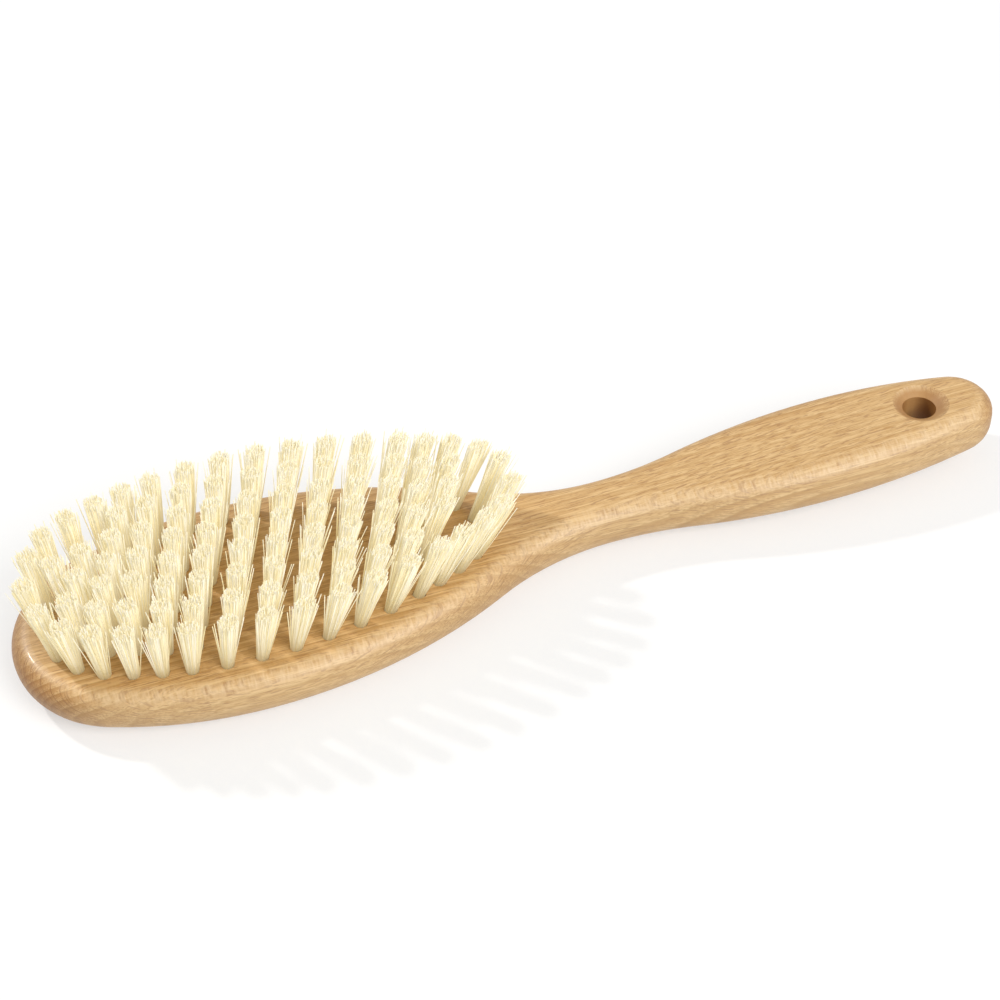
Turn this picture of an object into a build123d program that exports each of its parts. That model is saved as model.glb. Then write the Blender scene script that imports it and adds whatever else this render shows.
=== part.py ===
from build123d import *
import math
import os

# A vegetable brush: a one-piece beech body with an oval head and a slim handle, and tufts of
# stiff plant fibre punched into leaning holes in the head's face. Lengths are millimetres, +Z is
# up, and the origin lies midway along the body, on the plane of its flat back.

# Outline of the beech body, from the nose of the head to the end of the handle
nose_to_head = 51.0
head_to_waist = 85.4
waist_to_grip = 54.6
grip_to_end = 44.0
head_width = 60.4
waist_width = 15.4
grip_width = 27.4
nose_round_share = 0.84
shoulder_share = 0.665
grip_round_share = 0.64

# Side view of the body: flat under the head, sweeping up along the handle
head_thickness = 12.0
sweep_from_waist = 24.0
top_sweep = 4.9
back_sweep = 3.0
face_round = 4.7
side_land = 0.3
waist_round_share = 0.93

# Hanging hole, with a countersunk mouth on both sides
hole_from_end = 18.6
hole_diameter = 8.0
mouth_diameter = 13.2
mouth_depth = 1.4

# Drilled tuft holes. The outer ring keeps a margin to the outline, and its gaps, from the nose
# round one side, are counts and relative widths: the last leads to the axis and holds no tuft.
edge_margin = 8.0
field_from_nose = 106.5
ring_gap_shares = ((1, 1.26), (5, 1.0), (7, 1.2), (3, 0.91), (1, 0.98), (1, 0.54))
row_skew = 2
row_gap = 6.4
least_gap = 5.5
tuft_hole_diameter = 3.0
tuft_hole_depth = 8.0

# The fan in which the tufts lean, as depths below the face where their lines would meet
fan_from_nose = 24.0
fan_depth_along = 175.0
fan_depth_across = 105.0

# One tuft: fibres folded in half, packed in the hole and flaring to a trimmed tip
tuft_height = 16.2
tip_clearance = 0.3
tip_split = 0.7
root_split = 0.16
tip_raggedness = 1.1
root_grip = 1.0
root_stand = 0.3
fibre_clearance = 0.05
strand_count = 4
root_fill_share = 0.88
hole_sides = 8
turn_share = 0.382

# One anchor: a slip of flat wire driven through the fold, across the bottom of the hole
anchor_thickness = 0.35
anchor_height = 1.6
anchor_lift = 0.7
anchor_clearance = 0.02

overrun = 5.0


# Places along the body
body_length = nose_to_head + head_to_waist + waist_to_grip + grip_to_end
nose_x = -body_length / 2
head_x = nose_x + nose_to_head
waist_x = head_x + head_to_waist
grip_x = waist_x + waist_to_grip
end_x = grip_x + grip_to_end
sweep_x = waist_x - sweep_from_waist
head_half = head_width / 2
waist_half = waist_width / 2
grip_half = grip_width / 2


def s_curve_radii(run, drop, first_share):
    """Radii of two tangent arcs, level at both ends, that step sideways by drop over run."""
    total = (run**2 + drop**2) / (2 * drop)
    return first_share * total, (1 - first_share) * total


# Radii of the outline, each tangent to the next
nose_radius = nose_round_share * head_half
nose_run = nose_to_head - nose_radius
cheek_radius = (nose_run**2 + head_half**2 - nose_radius**2) / (2 * (head_half - nose_radius))
shoulder_radius, neck_radius = s_curve_radii(head_to_waist, head_half - waist_half, shoulder_share)
grip_radius, heel_radius = s_curve_radii(waist_to_grip, grip_half - waist_half, grip_round_share)
end_radius = (2 * grip_radius * grip_half - grip_half**2 - grip_to_end**2) / (
    2 * (grip_radius - grip_to_end)
)
back_round = min(head_thickness - face_round - side_land, waist_round_share * waist_half)

nose_centre = Vector(nose_x + nose_radius, 0)
cheek_centre = Vector(head_x, head_half - cheek_radius)
shoulder_centre = Vector(head_x, head_half - shoulder_radius)
neck_centre = Vector(waist_x, waist_half + neck_radius)
heel_centre = Vector(waist_x, waist_half + heel_radius)
grip_centre = Vector(grip_x, grip_half - grip_radius)
end_centre = Vector(end_x - end_radius, 0)


def joint_point(centre, radius, other_centre, side=1):
    """Where the arc of this centre and radius meets the tangent arc of the other centre."""
    return centre + (other_centre - centre).normalized() * radius * side


def outline_face():
    nose = Vector(nose_x, 0)
    head = Vector(head_x, head_half)
    waist = Vector(waist_x, waist_half)
    grip = Vector(grip_x, grip_half)
    end = Vector(end_x, 0)
    nose_joint = joint_point(nose_centre, nose_radius, cheek_centre, -1)
    neck_joint = joint_point(shoulder_centre, shoulder_radius, neck_centre)
    heel_joint = joint_point(grip_centre, grip_radius, heel_centre)
    end_joint = joint_point(end_centre, end_radius, grip_centre, -1)
    with BuildSketch() as sketch:
        with BuildLine():
            TangentArc(nose, nose_joint, tangent=(0, 1))
            TangentArc(head, nose_joint, tangent=(-1, 0))
            TangentArc(head, neck_joint, tangent=(1, 0))
            TangentArc(waist, neck_joint, tangent=(-1, 0))
            TangentArc(waist, heel_joint, tangent=(1, 0))
            TangentArc(grip, heel_joint, tangent=(-1, 0))
            TangentArc(grip, end_joint, tangent=(1, 0))
            TangentArc(end, end_joint, tangent=(0, 1))
            mirror(about=Plane.XZ)
        make_face()
    return sketch.sketch


def side_face():
    """Side view, drawn past both ends: level under the head, then swept up to the handle's end."""
    level = (1, 0)
    front = nose_x - overrun
    rear = end_x + overrun
    with BuildSketch(Plane.XZ) as sketch:
        with BuildLine():
            Line((front, 0), (sweep_x, 0))
            Spline((sweep_x, 0), (end_x, back_sweep), tangents=[level, level])
            Line((end_x, back_sweep), (rear, back_sweep))
            Line((rear, back_sweep), (rear, head_thickness + top_sweep))
            Line((rear, head_thickness + top_sweep), (end_x, head_thickness + top_sweep))
            Spline(
                (sweep_x, head_thickness), (end_x, head_thickness + top_sweep), tangents=[level, level]
            )
            Line((sweep_x, head_thickness), (front, head_thickness))
            Line((front, head_thickness), (front, 0))
        make_face()
    return sketch.sketch


def rim(solid, upper):
    """Edges round the top or the bottom face, without the seams that cross them."""
    edges = ShapeList()
    for edge in solid.edges():
        straight = edge.geom_type == GeomType.LINE
        if not straight and (edge.center().Z > head_thickness / 2) == upper:
            edges.append(edge)
    return edges


def sweep_height(x, rise):
    share = min(max((x - sweep_x) / (end_x - sweep_x), 0), 1)
    return rise * share**2 * (3 - 2 * share)


def hanging_hole_tool():
    """Bore with a funnel at each end, as one revolved cutter."""
    hole_x = end_x - hole_from_end
    low = sweep_height(hole_x, back_sweep)
    high = head_thickness + sweep_height(hole_x, top_sweep)
    bore = hole_diameter / 2
    mouth = mouth_diameter / 2
    flare = (mouth - bore) / mouth_depth
    wide = mouth + flare * overrun
    with BuildSketch(Plane.XZ) as sketch:
        with BuildLine():
            Polyline(
                (0, low - overrun),
                (wide, low - overrun),
                (bore, low + mouth_depth),
                (bore, high - mouth_depth),
                (wide, high + overrun),
                (0, high + overrun),
                close=True,
            )
        make_face()
    return Pos(hole_x, 0, 0) * revolve(sketch.sketch, Axis.Z)


def blank_body():
    depth = head_thickness + top_sweep + overrun
    slab = extrude(outline_face(), depth)
    profile = extrude(side_face(), head_width, both=True)
    body = slab & profile
    body = fillet(rim(body, True), face_round)
    return fillet(rim(body, False), back_round)


# Places of the tufts: an outer ring that follows the outline, and cross rows inside it


def ring_arcs():
    """Half of the outer ring on the +Y side, from nose to shoulder, as arcs concentric with the
    outline and a last one that closes it: centre, radius, first and last angle."""
    reach = shoulder_radius - edge_margin
    run = nose_x + field_from_nose - head_x
    sink = shoulder_centre.Y
    close_radius = (reach**2 - run**2 - sink**2) / (2 * (reach - run))
    close_centre = Vector(nose_x + field_from_nose - close_radius, 0)
    nose_turn = math.atan2(-cheek_centre.Y, nose_centre.X - head_x)
    close_turn = math.atan2(-sink, close_centre.X - head_x)
    return [
        (nose_centre, nose_radius - edge_margin, math.pi, nose_turn),
        (cheek_centre, cheek_radius - edge_margin, nose_turn, math.pi / 2),
        (shoulder_centre, reach, math.pi / 2, close_turn),
        (close_centre, close_radius, close_turn, 0),
    ]


def ring_point(distance, arcs):
    """Point at this distance from the nose along the half ring."""
    for centre, radius, first, last in arcs:
        length = radius * (first - last)
        if distance <= length:
            break
        distance -= length
    angle = first - distance / radius
    return centre + Vector(math.cos(angle), math.sin(angle)) * radius


def outer_ring():
    """Outer tufts in order: nose, -Y side, shoulder, +Y side."""
    arcs = ring_arcs()
    half_length = sum(radius * (first - last) for centre, radius, first, last in arcs)
    gaps = [share for count, share in ring_gap_shares for copy in range(count)]
    distances = [half_length * sum(gaps[: index + 1]) / sum(gaps) for index in range(len(gaps) - 1)]
    side = [ring_point(distance, arcs) for distance in distances]
    mirrored = [Vector(point.X, -point.Y) for point in side]
    return [ring_point(0, arcs)] + mirrored + side[::-1]


def tuft_rows():
    """Cross rows of tuft places. A row joins a place of the outer ring to the one opposite, a few
    places further along, and is filled evenly, less the holes that would run into another."""
    ring = outer_ring()
    last = len(ring) - row_skew
    placed = list(ring)
    rows = []
    for near in range((last + 1) // 2):
        start, stop = ring[near], ring[last - near]
        gaps = max(1, round((stop - start).length / row_gap))
        row = [start, stop]
        for step in range(1, gaps):
            place = start + (stop - start) * (step / gaps)
            if all((place - other).length >= least_gap for other in placed):
                placed.append(place)
                row.append(place)
        rows.append(row)
    rows[0] += ring[last + 1 :]
    return rows


def closest_gap(places):
    gaps = []
    for index, place in enumerate(places):
        gaps += [(place - other).length for other in places[:index]]
    return min(gaps)


places = tuft_rows()
tip_spread = 1 + tuft_height / max(fan_depth_along, fan_depth_across)
tip_diameter = closest_gap(sum(places, [])) * tip_spread - tip_clearance


def tuft_plane(place):
    """Plane at the head's face, its Z axis along the leaning tuft."""
    lean = Vector(
        (place.X - nose_x - fan_from_nose) / fan_depth_along,
        place.Y / fan_depth_across,
        1,
    )
    origin = Vector(place.X, place.Y, head_thickness)
    return Plane(origin=origin, x_dir=lean.cross(Vector(0, 1, 0)), z_dir=lean)


def hole_core(plane, radius, top):
    """Eight-sided rod from the bottom of the drilled hole to this height above the face."""
    core = extrude(RegularPolygon(radius, hole_sides), tuft_hole_depth + top)
    return plane * Pos(0, 0, -tuft_hole_depth) * core


def anchor_slip(plane, fit):
    """The slip of flat wire, its ends on the wall of the hole, less a fit."""
    across = (tuft_hole_diameter - anchor_thickness) * math.cos(math.pi / hole_sides)
    slip = Box(
        across - 2 * fit,
        anchor_thickness - 2 * fit,
        anchor_height - 2 * fit,
        align=(Align.CENTER, Align.CENTER, Align.MIN),
    )
    return plane * Pos(0, 0, anchor_lift + fit - tuft_hole_depth) * slip


def fibre_plug(plane):
    """Packed fibres that fill the hole from its bottom to just above the face, with the slot
    in which the anchor holds their fold."""
    plug = hole_core(plane, tuft_hole_diameter / 2 - fibre_clearance, root_stand)
    return plug - anchor_slip(plane, 0)


def wedge(centre, heading, split, reach):
    """Corners of one strand's level section: a wedge of the tuft, set off its centre by the split."""
    half_angle = math.pi / strand_count
    side = math.sqrt(reach**2 - (split * math.sin(half_angle)) ** 2) - split * math.cos(half_angle)
    inner = centre + Vector(math.cos(heading), math.sin(heading)) * split
    corners = [inner]
    for angle in (heading - half_angle, heading + half_angle):
        corners.append(inner + Vector(math.cos(angle), math.sin(angle)) * side)
    return corners


def strand(plane, heading, height):
    """One three-sided strand, from inside the plug to the trimmed tip."""
    lean = plane.z_dir / plane.z_dir.Z
    plug_reach = (tuft_hole_diameter / 2 - fibre_clearance) * math.cos(math.pi / hole_sides)
    root = wedge(plane.origin - lean * root_grip, heading, root_split, plug_reach * root_fill_share)
    tip = wedge(plane.origin + lean * height, heading, tip_split, tip_diameter / 2)
    return ConvexPolyhedron(root + tip)


def tuft(plane, number):
    """Plug and strands as one solid, turned and trimmed a little unlike its neighbours."""
    turn = 2 * math.pi * turn_share * number
    strands = []
    for index in range(strand_count):
        heading = turn + 2 * math.pi * index / strand_count
        uneven = (turn_share * (number + strand_count * index)) % 1
        strands.append(strand(plane, heading, tuft_height - tip_raggedness * uneven))
    return fibre_plug(plane).fuse(*strands)


def export(shape, name):
    shape.label = name
    export_step(shape, f"parts/{name}.step")


os.makedirs("parts", exist_ok=True)

planes = [[tuft_plane(place) for place in row] for row in places]

holes = [hole_core(plane, tuft_hole_diameter / 2, overrun) for row in planes for plane in row]
export(blank_body().cut(hanging_hole_tool(), *holes), "beech_body")

number = 0
for index, row in enumerate(planes, start=1):
    tufts = []
    for plane in row:
        tufts.append(tuft(plane, number))
        number += 1
    export(Compound(children=tufts), f"bristle_row_{index:02d}")
    anchors = [anchor_slip(plane, anchor_clearance) for plane in row]
    export(Compound(children=anchors), f"anchor_row_{index:02d}")

print("tufts", number, "strands", number * strand_count, "tip diameter", round(tip_diameter, 2))
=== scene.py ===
import math
import random

import bmesh
import bpy
from mathutils import Matrix, Vector


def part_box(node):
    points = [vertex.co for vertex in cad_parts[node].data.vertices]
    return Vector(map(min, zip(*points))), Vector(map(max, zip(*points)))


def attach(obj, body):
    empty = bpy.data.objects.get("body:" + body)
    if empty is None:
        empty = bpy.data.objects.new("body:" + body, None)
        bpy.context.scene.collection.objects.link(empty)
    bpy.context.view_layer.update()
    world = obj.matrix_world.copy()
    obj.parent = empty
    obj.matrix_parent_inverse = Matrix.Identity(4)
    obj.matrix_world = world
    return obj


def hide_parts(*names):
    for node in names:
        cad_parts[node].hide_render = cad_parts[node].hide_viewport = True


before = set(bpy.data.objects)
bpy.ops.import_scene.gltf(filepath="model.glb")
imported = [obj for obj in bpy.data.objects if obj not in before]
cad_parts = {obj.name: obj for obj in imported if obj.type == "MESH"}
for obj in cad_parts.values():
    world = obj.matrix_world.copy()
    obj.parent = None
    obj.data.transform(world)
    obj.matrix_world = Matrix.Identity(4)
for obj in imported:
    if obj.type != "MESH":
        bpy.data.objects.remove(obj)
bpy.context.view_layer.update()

# Beech body. One piece of steamed beech, sawn to its outline, its edges rounded over with a
# cutter, drilled, sanded and oiled. It is the CAD solid as it stands; its grain is added here.

BEECH_PALE = "#dab782"
BEECH_LATE = "#caa068"
BEECH_DEEP = "#b1854a"
BEECH_PORE = "#96693c"
# Painted shade for the wall of the hanging hole
BEECH_FLECK = "#dabd93"
BEECH_HOLE_SHADE = "#ad804b"
BEECH_END = "#d2c0a8"
BEECH_SIDE = "#b0a284"
PLANK_TILT = math.radians(60)
RING_WIDTH = 0.0019
RING_WANDER = 0.020
RING_RUN = 0.260
RING_BEND = 12.0
TONE_PATCH = 0.012
TONE_RUN = 0.060
TONE_SHARE = 0.8
STREAK_WIDTH = 0.0006
STREAK_LENGTH = 0.060
STREAK_SHARE = 0.5
PORE_WIDTH = 0.00018
PORE_LENGTH = 0.0140
PORE_SHARE = 1.0
RAY_WIDTH = 0.00020
RAY_LENGTH = 0.0030
RAY_HEIGHT = 0.0080
RAY_DEPTH = 0.00002
RAY_SHARE = 0.6
FLECK_WIDTH = 0.0005
FLECK_REACH = 0.0022
FLECK_LEAST = 0.15
FLECK_MOST = 0.8
SIDE_SHARE = 0.24
HOLE_PLACE = 0.0989
FUNNEL_RADIUS = 0.0052
# How far the painted shade browns the wall of the hanging hole
HOLE_SHADE_SHARE = 0.9
MOUTH_RADIUS = 0.0066


def colour(hex_code):
    """sRGB hex to the linear colour that a shader socket takes."""
    parts = [int(hex_code[index : index + 2], 16) / 255 for index in (1, 3, 5)]
    linear = [
        part / 12.92 if part <= 0.04045 else ((part + 0.055) / 1.055) ** 2.4 for part in parts
    ]
    return linear + [1]


def add(tree, kind, links=None, stops=(), **settings):
    """Add a node with its settings. Each socket in links gets a node's first output, another
    socket or a plain value, and stops are the places and colours of a colour ramp."""
    made = tree.nodes.new("ShaderNode" + kind)
    for name, value in settings.items():
        setattr(made, name, value)
    for name, value in (links or {}).items():
        if isinstance(value, bpy.types.Node):
            value = value.outputs[0]
        if isinstance(value, bpy.types.NodeSocket):
            tree.links.new(value, made.inputs[name])
        else:
            made.inputs[name].default_value = value
    if stops:
        band = made.color_ramp.elements
        while len(band) < len(stops):
            band.new(1)
        for element, (position, hex_code) in zip(band, stops):
            element.position = position
            element.color = colour(hex_code)
    return made


def new_material(name):
    """A material with an empty node tree."""
    made = bpy.data.materials.new(name)
    made.use_nodes = True
    made.node_tree.nodes.clear()
    return made


def oiled_beech():
    """Steamed beech, sanded and oiled: a satin skin with soft year rings, fine pore lines and short
    dark ray dashes, a silky band of pale flecks where the surface crosses the rings, greyer where
    it faces sideways, and painted shade that browns the wall of the hanging hole. The pores and
    dashes are drawn coarser than real ones, so that they show."""
    made = new_material("oiled_beech")
    tree = made.node_tree
    place = add(tree, "TexCoord").outputs["Object"]
    plank = add(tree, "Mapping", {"Vector": place, "Rotation": (PLANK_TILT, 0, 0)})

    ring_scale = (RING_WANDER / RING_RUN, 1, 1)
    ringed = add(tree, "Mapping", {"Vector": plank, "Scale": ring_scale})
    # A wave texture of scale 1 has 10 / pi bands to the metre
    wave_scale = math.pi / 10 / RING_WIDTH
    rings = add(
        tree,
        "TexWave",
        {
            "Vector": ringed,
            "Scale": wave_scale,
            "Distortion": RING_BEND,
            "Detail": 2.0,
            "Detail Scale": 1 / (wave_scale * RING_WANDER),
        },
        bands_direction="Z",
        wave_profile="SAW",
    )
    ring_stops = [(0.0, BEECH_PALE), (0.5, BEECH_LATE), (0.85, BEECH_DEEP), (1.0, BEECH_PALE)]
    year = add(tree, "ValToRGB", {"Fac": rings.outputs["Fac"]}, stops=ring_stops)

    patch_scale = (1 / TONE_RUN, 1 / TONE_PATCH, 1 / TONE_PATCH)
    patched = add(tree, "Mapping", {"Vector": plank, "Scale": patch_scale})
    tone = add(tree, "TexNoise", {"Vector": patched, "Scale": 1.0, "Detail": 2.0})
    tone_range = {"Value": tone, "From Min": 0.3, "From Max": 0.7, "To Max": TONE_SHARE}
    tone_share = add(tree, "MapRange", tone_range)
    toned = add(tree, "MixRGB", {"Fac": tone_share, "Color1": year, "Color2": colour(BEECH_PALE)})

    streak_scale = (1 / STREAK_LENGTH, 1 / STREAK_WIDTH, 1 / STREAK_WIDTH)
    streaked = add(tree, "Mapping", {"Vector": plank, "Scale": streak_scale})
    streaks = add(tree, "TexNoise", {"Vector": streaked, "Scale": 1.0, "Detail": 3.0})
    streak_range = {"Value": streaks, "From Min": 0.45, "From Max": 0.65, "To Max": STREAK_SHARE}
    streak_share = add(tree, "MapRange", streak_range)
    drawn = add(tree, "MixRGB", {"Fac": streak_share, "Color1": toned, "Color2": colour(BEECH_DEEP)})

    pore_scale = (1 / PORE_LENGTH, 1 / PORE_WIDTH, 1 / PORE_WIDTH)
    pored = add(tree, "Mapping", {"Vector": plank, "Scale": pore_scale})
    pores = add(tree, "TexNoise", {"Vector": pored, "Scale": 1.0, "Detail": 1.0})
    pore_range = {"Value": pores, "From Min": 0.48, "From Max": 0.68, "To Max": PORE_SHARE}
    pore_share = add(tree, "MapRange", pore_range)
    lined = add(tree, "MixRGB", {"Fac": pore_share, "Color1": drawn, "Color2": colour(BEECH_DEEP)})

    ray_scale = (1 / RAY_LENGTH, 1 / RAY_WIDTH, 1 / RAY_HEIGHT)
    rayed = add(tree, "Mapping", {"Vector": plank, "Scale": ray_scale})
    rays = add(tree, "TexNoise", {"Vector": rayed, "Scale": 1.0, "Detail": 2.0})
    dash_range = {"Value": rays, "From Min": 0.56, "From Max": 0.63, "To Max": RAY_SHARE}
    dash_share = add(tree, "MapRange", dash_range)
    dashed = add(tree, "MixRGB", {"Fac": dash_share, "Color1": lined, "Color2": colour(BEECH_PORE)})

    fleck_scale = (1 / FLECK_WIDTH, 1 / FLECK_REACH, 1 / FLECK_REACH)
    flecked = add(tree, "Mapping", {"Vector": plank, "Scale": fleck_scale})
    flecks = add(tree, "TexNoise", {"Vector": flecked, "Scale": 1.0, "Detail": 2.0})
    fleck_share = add(
        tree,
        "MapRange",
        {
            "Value": flecks,
            "From Min": 0.3,
            "From Max": 0.7,
            "To Min": FLECK_LEAST,
            "To Max": FLECK_MOST,
        },
    )
    facing = add(tree, "NewGeometry").outputs["Normal"]
    ring_normal = (0, math.sin(PLANK_TILT), math.cos(PLANK_TILT))
    tipped = add(tree, "VectorMath", {0: facing, 1: ring_normal}, operation="DOT_PRODUCT")
    along_rings = add(tree, "Math", {0: tipped.outputs["Value"]}, operation="ABSOLUTE")
    on_edge = add(tree, "MapRange", {"Value": along_rings, "From Min": 0.55, "From Max": 0.15})
    ended = add(tree, "SeparateXYZ", {"Vector": facing})
    toward_end = add(tree, "Math", {0: ended.outputs["X"]}, operation="ABSOLUTE")
    off_end = add(tree, "MapRange", {"Value": toward_end, "From Min": 0.5, "From Max": 0.2})
    edge_share = add(tree, "Math", {0: on_edge, 1: off_end}, operation="MULTIPLY")
    silk_share = add(tree, "Math", {0: edge_share, 1: fleck_share}, operation="MULTIPLY")
    # Greyer where the surface faces sideways.
    toward_side = add(tree, "Math", {0: ended.outputs["Y"]}, operation="ABSOLUTE")
    side_range = {"Value": toward_side, "From Min": 0.5, "From Max": 0.9, "To Max": SIDE_SHARE}
    side_share = add(tree, "MapRange", side_range)
    sided = add(tree, "MixRGB", {"Fac": side_share, "Color1": dashed, "Color2": colour(BEECH_SIDE)})
    silky = add(tree, "MixRGB", {"Fac": silk_share, "Color1": sided, "Color2": colour(BEECH_FLECK)})

    # Painted shade: the wall of the hanging hole is drawn browner from its mouth down into the bore.
    hole_at = {"Vector": place, "Location": (-HOLE_PLACE, 0, 0), "Scale": (1, 1, 0)}
    holed = add(tree, "Mapping", hole_at)
    off_axis = add(tree, "VectorMath", {0: holed}, operation="LENGTH").outputs["Value"]
    hole_shade_share = add(
        tree,
        "MapRange",
        {
            "Value": off_axis,
            "From Min": MOUTH_RADIUS,
            "From Max": FUNNEL_RADIUS,
            "To Max": HOLE_SHADE_SHARE,
        },
    )
    hole_shaded = add(tree, "MixRGB", {"Fac": hole_shade_share, "Color1": silky, "Color2": colour(BEECH_HOLE_SHADE)})
    end_share = add(tree, "MapRange", {"Value": toward_end, "From Min": 0.2, "From Max": 0.8})
    marked = add(
        tree,
        "MixRGB",
        {"Fac": end_share, "Color1": hole_shaded, "Color2": colour(BEECH_END)},
        blend_type="MULTIPLY",
    )
    bump = add(tree, "Bump", {"Height": rays, "Strength": 0.2, "Distance": RAY_DEPTH})
    skin = add(
        tree,
        "BsdfPrincipled",
        {
            "Base Color": marked,
            "Roughness": 0.48,
            "IOR": 1.5,
            "Normal": bump,
            "Coat Weight": 0.06,
            "Coat Roughness": 0.12,
        },
    )
    add(tree, "OutputMaterial", {"Surface": skin})
    return made


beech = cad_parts["beech_body"]
beech.data.materials.clear()
beech.data.materials.append(oiled_beech())

# Tufts. Each is a bundle of stiff plant fibre folded in half and driven into a drilled hole. The
# fibres leave the hole tightly packed, flare as they rise, and are cut flat at one height.

FACE_HEIGHT = 0.012
TIP_ZONE = 0.024
FIBRES_IN_TUFT = 210
FIBRE_SIDES = 3
FIBRE_WIDTH = 0.00028
FIBRE_TIP_WIDTH = 0.00022
FIBRE_RINGS = 3
ROOT_DEPTH = 0.001
ROOT_REACH = 0.00125
TIP_REACH = 0.00214
TIP_JITTER = 0.00008
RIM_SHARE = 0.35
RIM_DEPTH = 0.12
HEART_SHARE = 0.84
HEART_DROP = 0.0019
HEART_SHADE = 0.3
HEART_SIDES = 12
TRIM_RAGGED = 0.0016
CLUMPS_IN_TUFT = 10
CLUMP_PULL = 0.25
STRAY_REACH = 0.0022
STRAY_RARITY = 13
FIBRE_BOW = 0.00006
GOLDEN_TURN = 2.39996
WELD = 0.000001
BUNDLE_GLOW = 0.27
LIGHT_THROUGH = 0.26
ROOT_SHARE = 0.65
FIBRE_STRAW = "#efe4bb"
FIBRE_PLAIN = "#f2eace"
FIBRE_CREAM = "#f7f3e5"
FIBRE_ROOT = "#d9c996"


def tuft_fibre():
    """Undyed plant fibre, such as tampico: creamy to straw from one fibre to the next, a dull
    satin, a little darker towards the wood. The faint glow stands for the light that scatters on
    from fibre to fibre in the bundle."""
    made = new_material("tuft_fibre")
    tree = made.node_tree
    parts = add(tree, "SeparateXYZ", {"Vector": add(tree, "UVMap")})
    shade = parts.outputs["X"]
    rise = parts.outputs["Y"]
    shade_stops = [(0.0, FIBRE_STRAW), (0.4, FIBRE_PLAIN), (1.0, FIBRE_CREAM)]
    own = add(tree, "ValToRGB", {"Fac": shade}, stops=shade_stops)
    foot = add(tree, "MapRange", {"Value": rise, "From Min": 0.6, "From Max": 0.04})
    foot_share = add(tree, "Math", {0: foot, 1: ROOT_SHARE}, operation="MULTIPLY")
    rooted = add(tree, "MixRGB", {"Fac": foot_share, "Color1": own, "Color2": colour(FIBRE_ROOT)})
    skin = add(
        tree,
        "BsdfPrincipled",
        {
            "Base Color": rooted,
            "Roughness": 0.55,
            "IOR": 1.45,
            "Specular IOR Level": 0.3,
            "Emission Color": rooted,
            "Emission Strength": BUNDLE_GLOW,
        },
    )
    glow = add(tree, "BsdfTranslucent", {"Color": rooted})
    look = add(tree, "MixShader", {0: LIGHT_THROUGH, 1: skin, 2: glow})
    add(tree, "OutputMaterial", {"Surface": look})
    return made


def straight_fibre():
    """One three-sided fibre from height 0 to 1, with rings of points that let it bend."""
    made = bmesh.new()
    bmesh.ops.create_cone(
        made,
        cap_ends=True,
        segments=FIBRE_SIDES,
        radius1=FIBRE_WIDTH / 2,
        radius2=FIBRE_TIP_WIDTH / 2,
        depth=1,
        matrix=Matrix.Translation((0, 0, 0.5)),
    )
    sides = [edge for edge in made.edges if edge.calc_length() > 0.5]
    bmesh.ops.subdivide_edges(made, edges=sides, cuts=FIBRE_RINGS - 1)
    made.loops.layers.uv.new("fibre")
    mesh = bpy.data.meshes.new("straight_fibre")
    made.to_mesh(mesh)
    made.free()
    return mesh


def tuft_axes(cad_row):
    """Root of each tuft in a row, just under the wood's face, and how far it leans as it rises,
    from its CAD solids."""
    solids = bmesh.new()
    solids.from_mesh(cad_row.data)
    bmesh.ops.remove_doubles(solids, verts=solids.verts, dist=WELD)
    seen = set()
    axes = []
    for first in solids.verts:
        if first in seen:
            continue
        seen.add(first)
        joined = [first]
        for vert in joined:
            for edge in vert.link_edges:
                other = edge.other_vert(vert)
                if other not in seen:
                    seen.add(other)
                    joined.append(other)
        below = [vert.co for vert in joined if vert.co.z < FACE_HEIGHT - ROOT_DEPTH]
        above = [vert.co for vert in joined if vert.co.z > TIP_ZONE]
        if above:
            foot = sum(below, Vector()) / len(below)
            rise = sum(above, Vector()) / len(above) - foot
            lean = rise / rise.z
            axes.append((foot + lean * (FACE_HEIGHT - ROOT_DEPTH - foot.z), lean))
    solids.free()
    return axes


def grow_tuft(row, fibre, root, lean, trim_height, chance):
    """Add the single fibres of one tuft to a row's mesh."""
    shades = row.loops.layers.uv["fibre"]
    clumps = []
    for index in range(CLUMPS_IN_TUFT):
        angle = chance.uniform(0, 2 * math.pi)
        reach = math.sqrt(chance.random())
        clumps.append(Vector((math.cos(angle), math.sin(angle), 0)) * reach)
    for index in range(FIBRES_IN_TUFT):
        angle = index * GOLDEN_TURN
        reach = math.sqrt(chance.random())
        if index < FIBRES_IN_TUFT * RIM_SHARE:
            reach = 1 - RIM_DEPTH * chance.random()
        seat = Vector((math.cos(angle), math.sin(angle), 0)) * reach
        clump = min(clumps, key=lambda middle: (middle - seat).length)
        drawn = seat.lerp(clump, CLUMP_PULL * chance.random())
        jitter = Vector((chance.gauss(0, 1), chance.gauss(0, 1), 0)) * TIP_JITTER
        height = trim_height - TRIM_RAGGED * chance.random() ** 2
        start = root + seat * ROOT_REACH
        stray = seat * STRAY_REACH * chance.random() ** STRAY_RARITY
        end = root + lean * (height - root.z) + drawn * TIP_REACH + jitter + stray
        bow = Vector((chance.gauss(0, 1), chance.gauss(0, 1), 0)) * FIBRE_BOW
        turn = Matrix.Rotation(chance.uniform(0, 2 * math.pi), 3, "Z")
        shade = chance.random()
        first = len(row.verts)
        row.from_mesh(fibre)
        row.verts.ensure_lookup_table()
        for vert in row.verts[first:]:
            share = vert.co.z
            side = turn @ Vector((vert.co.x, vert.co.y, 0))
            vert.co = start.lerp(end, share) + bow * (4 * share * (1 - share)) + side
            for loop in vert.link_loops:
                loop[shades].uv = (shade, share)


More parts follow.
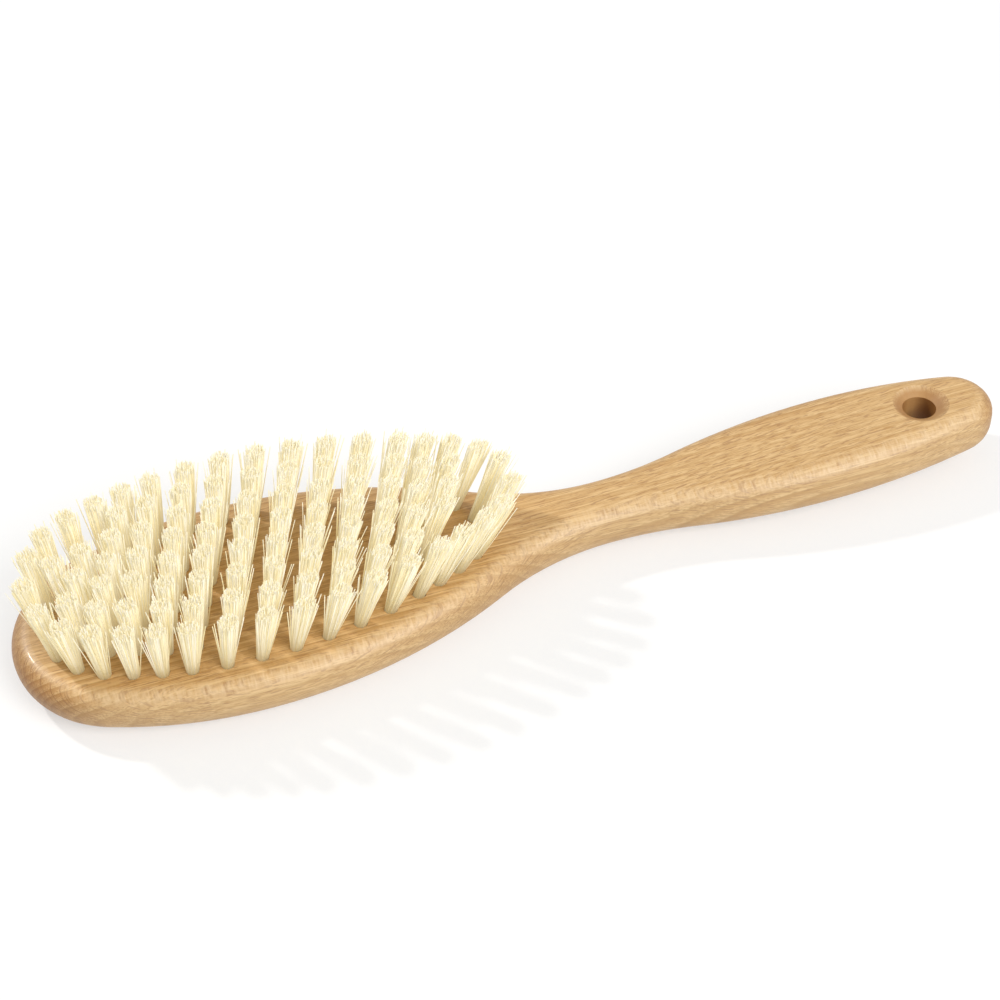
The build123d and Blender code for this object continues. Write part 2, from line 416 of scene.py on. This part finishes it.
def pack_heart(row, root, lean, height):
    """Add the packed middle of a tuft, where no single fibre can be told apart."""
    shades = row.loops.layers.uv["fibre"]
    stretch = Matrix.Identity(4)
    stretch.col[2] = (lean.x, lean.y, 1, 0)
    heart = bmesh.ops.create_cone(
        row,
        cap_ends=True,
        segments=HEART_SIDES,
        radius1=ROOT_REACH * HEART_SHARE,
        radius2=TIP_REACH * HEART_SHARE,
        depth=height,
        matrix=Matrix.Translation(root + lean * height / 2) @ stretch,
    )
    for vert in heart["verts"]:
        for loop in vert.link_loops:
            loop[shades].uv = (HEART_SHADE, (vert.co.z - root.z) / height)


fibre_skin = tuft_fibre()
fibre = straight_fibre()
row_nodes = sorted(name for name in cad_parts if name.startswith("bristle_row"))
for number, name in enumerate(row_nodes):
    chance = random.Random(number)
    row = bmesh.new()
    row.loops.layers.uv.new("fibre")
    trim_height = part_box(name)[1].z
    axes = tuft_axes(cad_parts[name])
    for root, lean in axes:
        grow_tuft(row, fibre, root, lean, trim_height, chance)
    for root, lean in axes:
        pack_heart(row, root, lean, trim_height - HEART_DROP - root.z)
    for face in row.faces:
        face.smooth = len(face.verts) == 4
    mesh = bpy.data.meshes.new(name.replace("bristle", "fibre"))
    row.to_mesh(mesh)
    row.free()
    mesh.materials.append(fibre_skin)
    tufts = bpy.data.objects.new(mesh.name, mesh)
    bpy.context.collection.objects.link(tufts)
    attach(tufts, "root")
    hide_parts(name)

# Anchors. A slip of flat drawn wire sits across the bottom of each hole and holds the fold of its
# tuft. They are the CAD solids, hidden in the wood.

WIRE_BRIGHT = "#c4c2bb"
WIRE_DULL = "#9a978f"
DRAW_LINE_WIDTH = 0.0001
DRAW_LINE_LENGTH = 0.001


def drawn_wire():
    """Galvanised steel wire, drawn and rolled flat: grey, half dull, with the die's fine lines,
    which are coarser here than real ones, so that they show."""
    made = new_material("drawn_wire")
    tree = made.node_tree
    place = add(tree, "TexCoord").outputs["Object"]
    line_scale = (1 / DRAW_LINE_LENGTH, 1 / DRAW_LINE_WIDTH, 1 / DRAW_LINE_WIDTH)
    lined = add(tree, "Mapping", {"Vector": place, "Scale": line_scale})
    lines = add(tree, "TexNoise", {"Vector": lined, "Scale": 1.0, "Detail": 1.0})
    grey = add(tree, "ValToRGB", {"Fac": lines}, stops=[(0.3, WIRE_DULL), (0.7, WIRE_BRIGHT)])
    skin = add(tree, "BsdfPrincipled", {"Base Color": grey, "Metallic": 1.0, "Roughness": 0.38})
    add(tree, "OutputMaterial", {"Surface": skin})
    return made


wire = drawn_wire()
for name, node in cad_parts.items():
    if name.startswith("anchor_row"):
        node.data.materials.clear()
        node.data.materials.append(wire)

# Table. A plain white sheet that runs out of sight under the brush and takes its pale shadow.

TABLE_REACH = 3.0
TABLE_DROP = 0.0001
TABLE_WHITE = "#f7f6f4"
SHADOW_VEIL = 0.5
VEIL_WHITE = 1.0
LIT_REACH = 0.22
PLAIN_REACH = 0.5


def rays_to_eye(tree):
    """1 for the rays by which the camera sees, straight, mirrored or through a clear thing."""
    path = add(tree, "LightPath")
    straight = path.outputs["Is Camera Ray"]
    mirrored = path.outputs["Is Glossy Ray"]
    through = path.outputs["Is Transmission Ray"]
    either = add(tree, "Math", {0: straight, 1: mirrored}, operation="MAXIMUM")
    return add(tree, "Math", {0: either, 1: through}, operation="MAXIMUM")


def white_table():
    """Matt white laminate. To the camera it is half plain white, so the shadow on it is pale, and
    wholly so where it runs out of the light."""
    made = new_material("white_table")
    tree = made.node_tree
    matt = add(tree, "BsdfDiffuse", {"Color": colour(TABLE_WHITE)})
    plain = add(tree, "Emission", {"Color": (1, 1, 1, 1), "Strength": VEIL_WHITE})
    place = add(tree, "TexCoord").outputs["Object"]
    reach = add(tree, "VectorMath", {0: place}, operation="LENGTH").outputs["Value"]
    fade_range = {
        "Value": reach,
        "From Min": LIT_REACH,
        "From Max": PLAIN_REACH,
        "To Min": SHADOW_VEIL,
    }
    fade = add(tree, "MapRange", fade_range)
    veil = add(tree, "Math", {0: rays_to_eye(tree), 1: fade}, operation="MULTIPLY")
    look = add(tree, "MixShader", {0: veil, 1: matt, 2: plain})
    add(tree, "OutputMaterial", {"Surface": look})
    return made


sheet = bmesh.new()
bmesh.ops.create_grid(
    sheet,
    x_segments=1,
    y_segments=1,
    size=TABLE_REACH,
    matrix=Matrix.Translation((0, 0, -TABLE_DROP)),
)
mesh = bpy.data.meshes.new("table")
sheet.to_mesh(mesh)
sheet.free()
mesh.materials.append(white_table())
table = bpy.data.objects.new("table", mesh)
bpy.context.collection.objects.link(table)

# Studio light. A small lamp stands behind the brush on the left and draws the shadow, a large soft
# one stands in front of it, and the white room fills the rest.

LAMP_TURN = math.radians(131)
LAMP_HEIGHT = math.radians(40)
LAMP_DISTANCE = 1.2
LAMP_SIZE = 0.08
LAMP_POWER = 6.5
FILL_TURN = math.radians(298)
FILL_HEIGHT = math.radians(40)
FILL_DISTANCE = 1.5
FILL_SIZE = 1.0
FILL_POWER = 18.0
ROOM_LEVEL = 0.45


def lamp(name, turn, height, distance, size, power):
    """A round area lamp that faces the brush."""
    light = bpy.data.lights.new(name, "AREA")
    light.shape = "DISK"
    light.size = size
    light.energy = power
    made = bpy.data.objects.new(name, light)
    aim = Matrix.Rotation(turn, 4, "Z") @ Matrix.Rotation(math.pi / 2 - height, 4, "Y")
    made.matrix_world = aim @ Matrix.Translation((0, 0, distance))
    bpy.context.collection.objects.link(made)


lamp("key_lamp", LAMP_TURN, LAMP_HEIGHT, LAMP_DISTANCE, LAMP_SIZE, LAMP_POWER)
lamp("fill_lamp", FILL_TURN, FILL_HEIGHT, FILL_DISTANCE, FILL_SIZE, FILL_POWER)

room = bpy.data.worlds.new("white_room")
room.use_nodes = True
tree = room.node_tree
tree.nodes.clear()
level = add(tree, "MapRange", {"Value": rays_to_eye(tree), "To Min": ROOM_LEVEL, "To Max": 1.0})
sky = add(tree, "Background", {"Color": (1, 1, 1, 1), "Strength": level})
add(tree, "OutputWorld", {"Surface": sky})
bpy.context.scene.world = room
bpy.context.scene.view_settings.view_transform = "Standard"

# Camera. It looks down on the brush from its near side, a little round towards the nose, and from
# close enough for the handle's end to look smaller.

VIEW_TARGET = Vector((0, 0, 0.00817))
VIEW_DISTANCE = 0.4141
VIEW_TURN = math.radians(-16.59)
VIEW_HEIGHT = math.radians(43.68)
VIEW_ROLL = math.radians(-2.42)
LENS_MM = 64.8
SENSOR_MM = 36.0
SHIFT_ACROSS = -0.0268
SHIFT_UP = 0.0275

lens = bpy.data.cameras.new("camera")
lens.lens = LENS_MM
lens.sensor_width = SENSOR_MM
lens.shift_x = SHIFT_ACROSS
lens.shift_y = SHIFT_UP
lens.clip_start = 0.01
camera = bpy.data.objects.new("camera", lens)
aim = Matrix.Rotation(VIEW_TURN, 4, "Z") @ Matrix.Rotation(math.pi / 2 - VIEW_HEIGHT, 4, "X")
aim = Matrix.Translation(VIEW_TARGET) @ aim
away = aim @ Matrix.Translation((0, 0, VIEW_DISTANCE))
camera.matrix_world = away @ Matrix.Rotation(VIEW_ROLL, 4, "Z")
bpy.context.collection.objects.link(camera)
bpy.context.scene.camera = camera
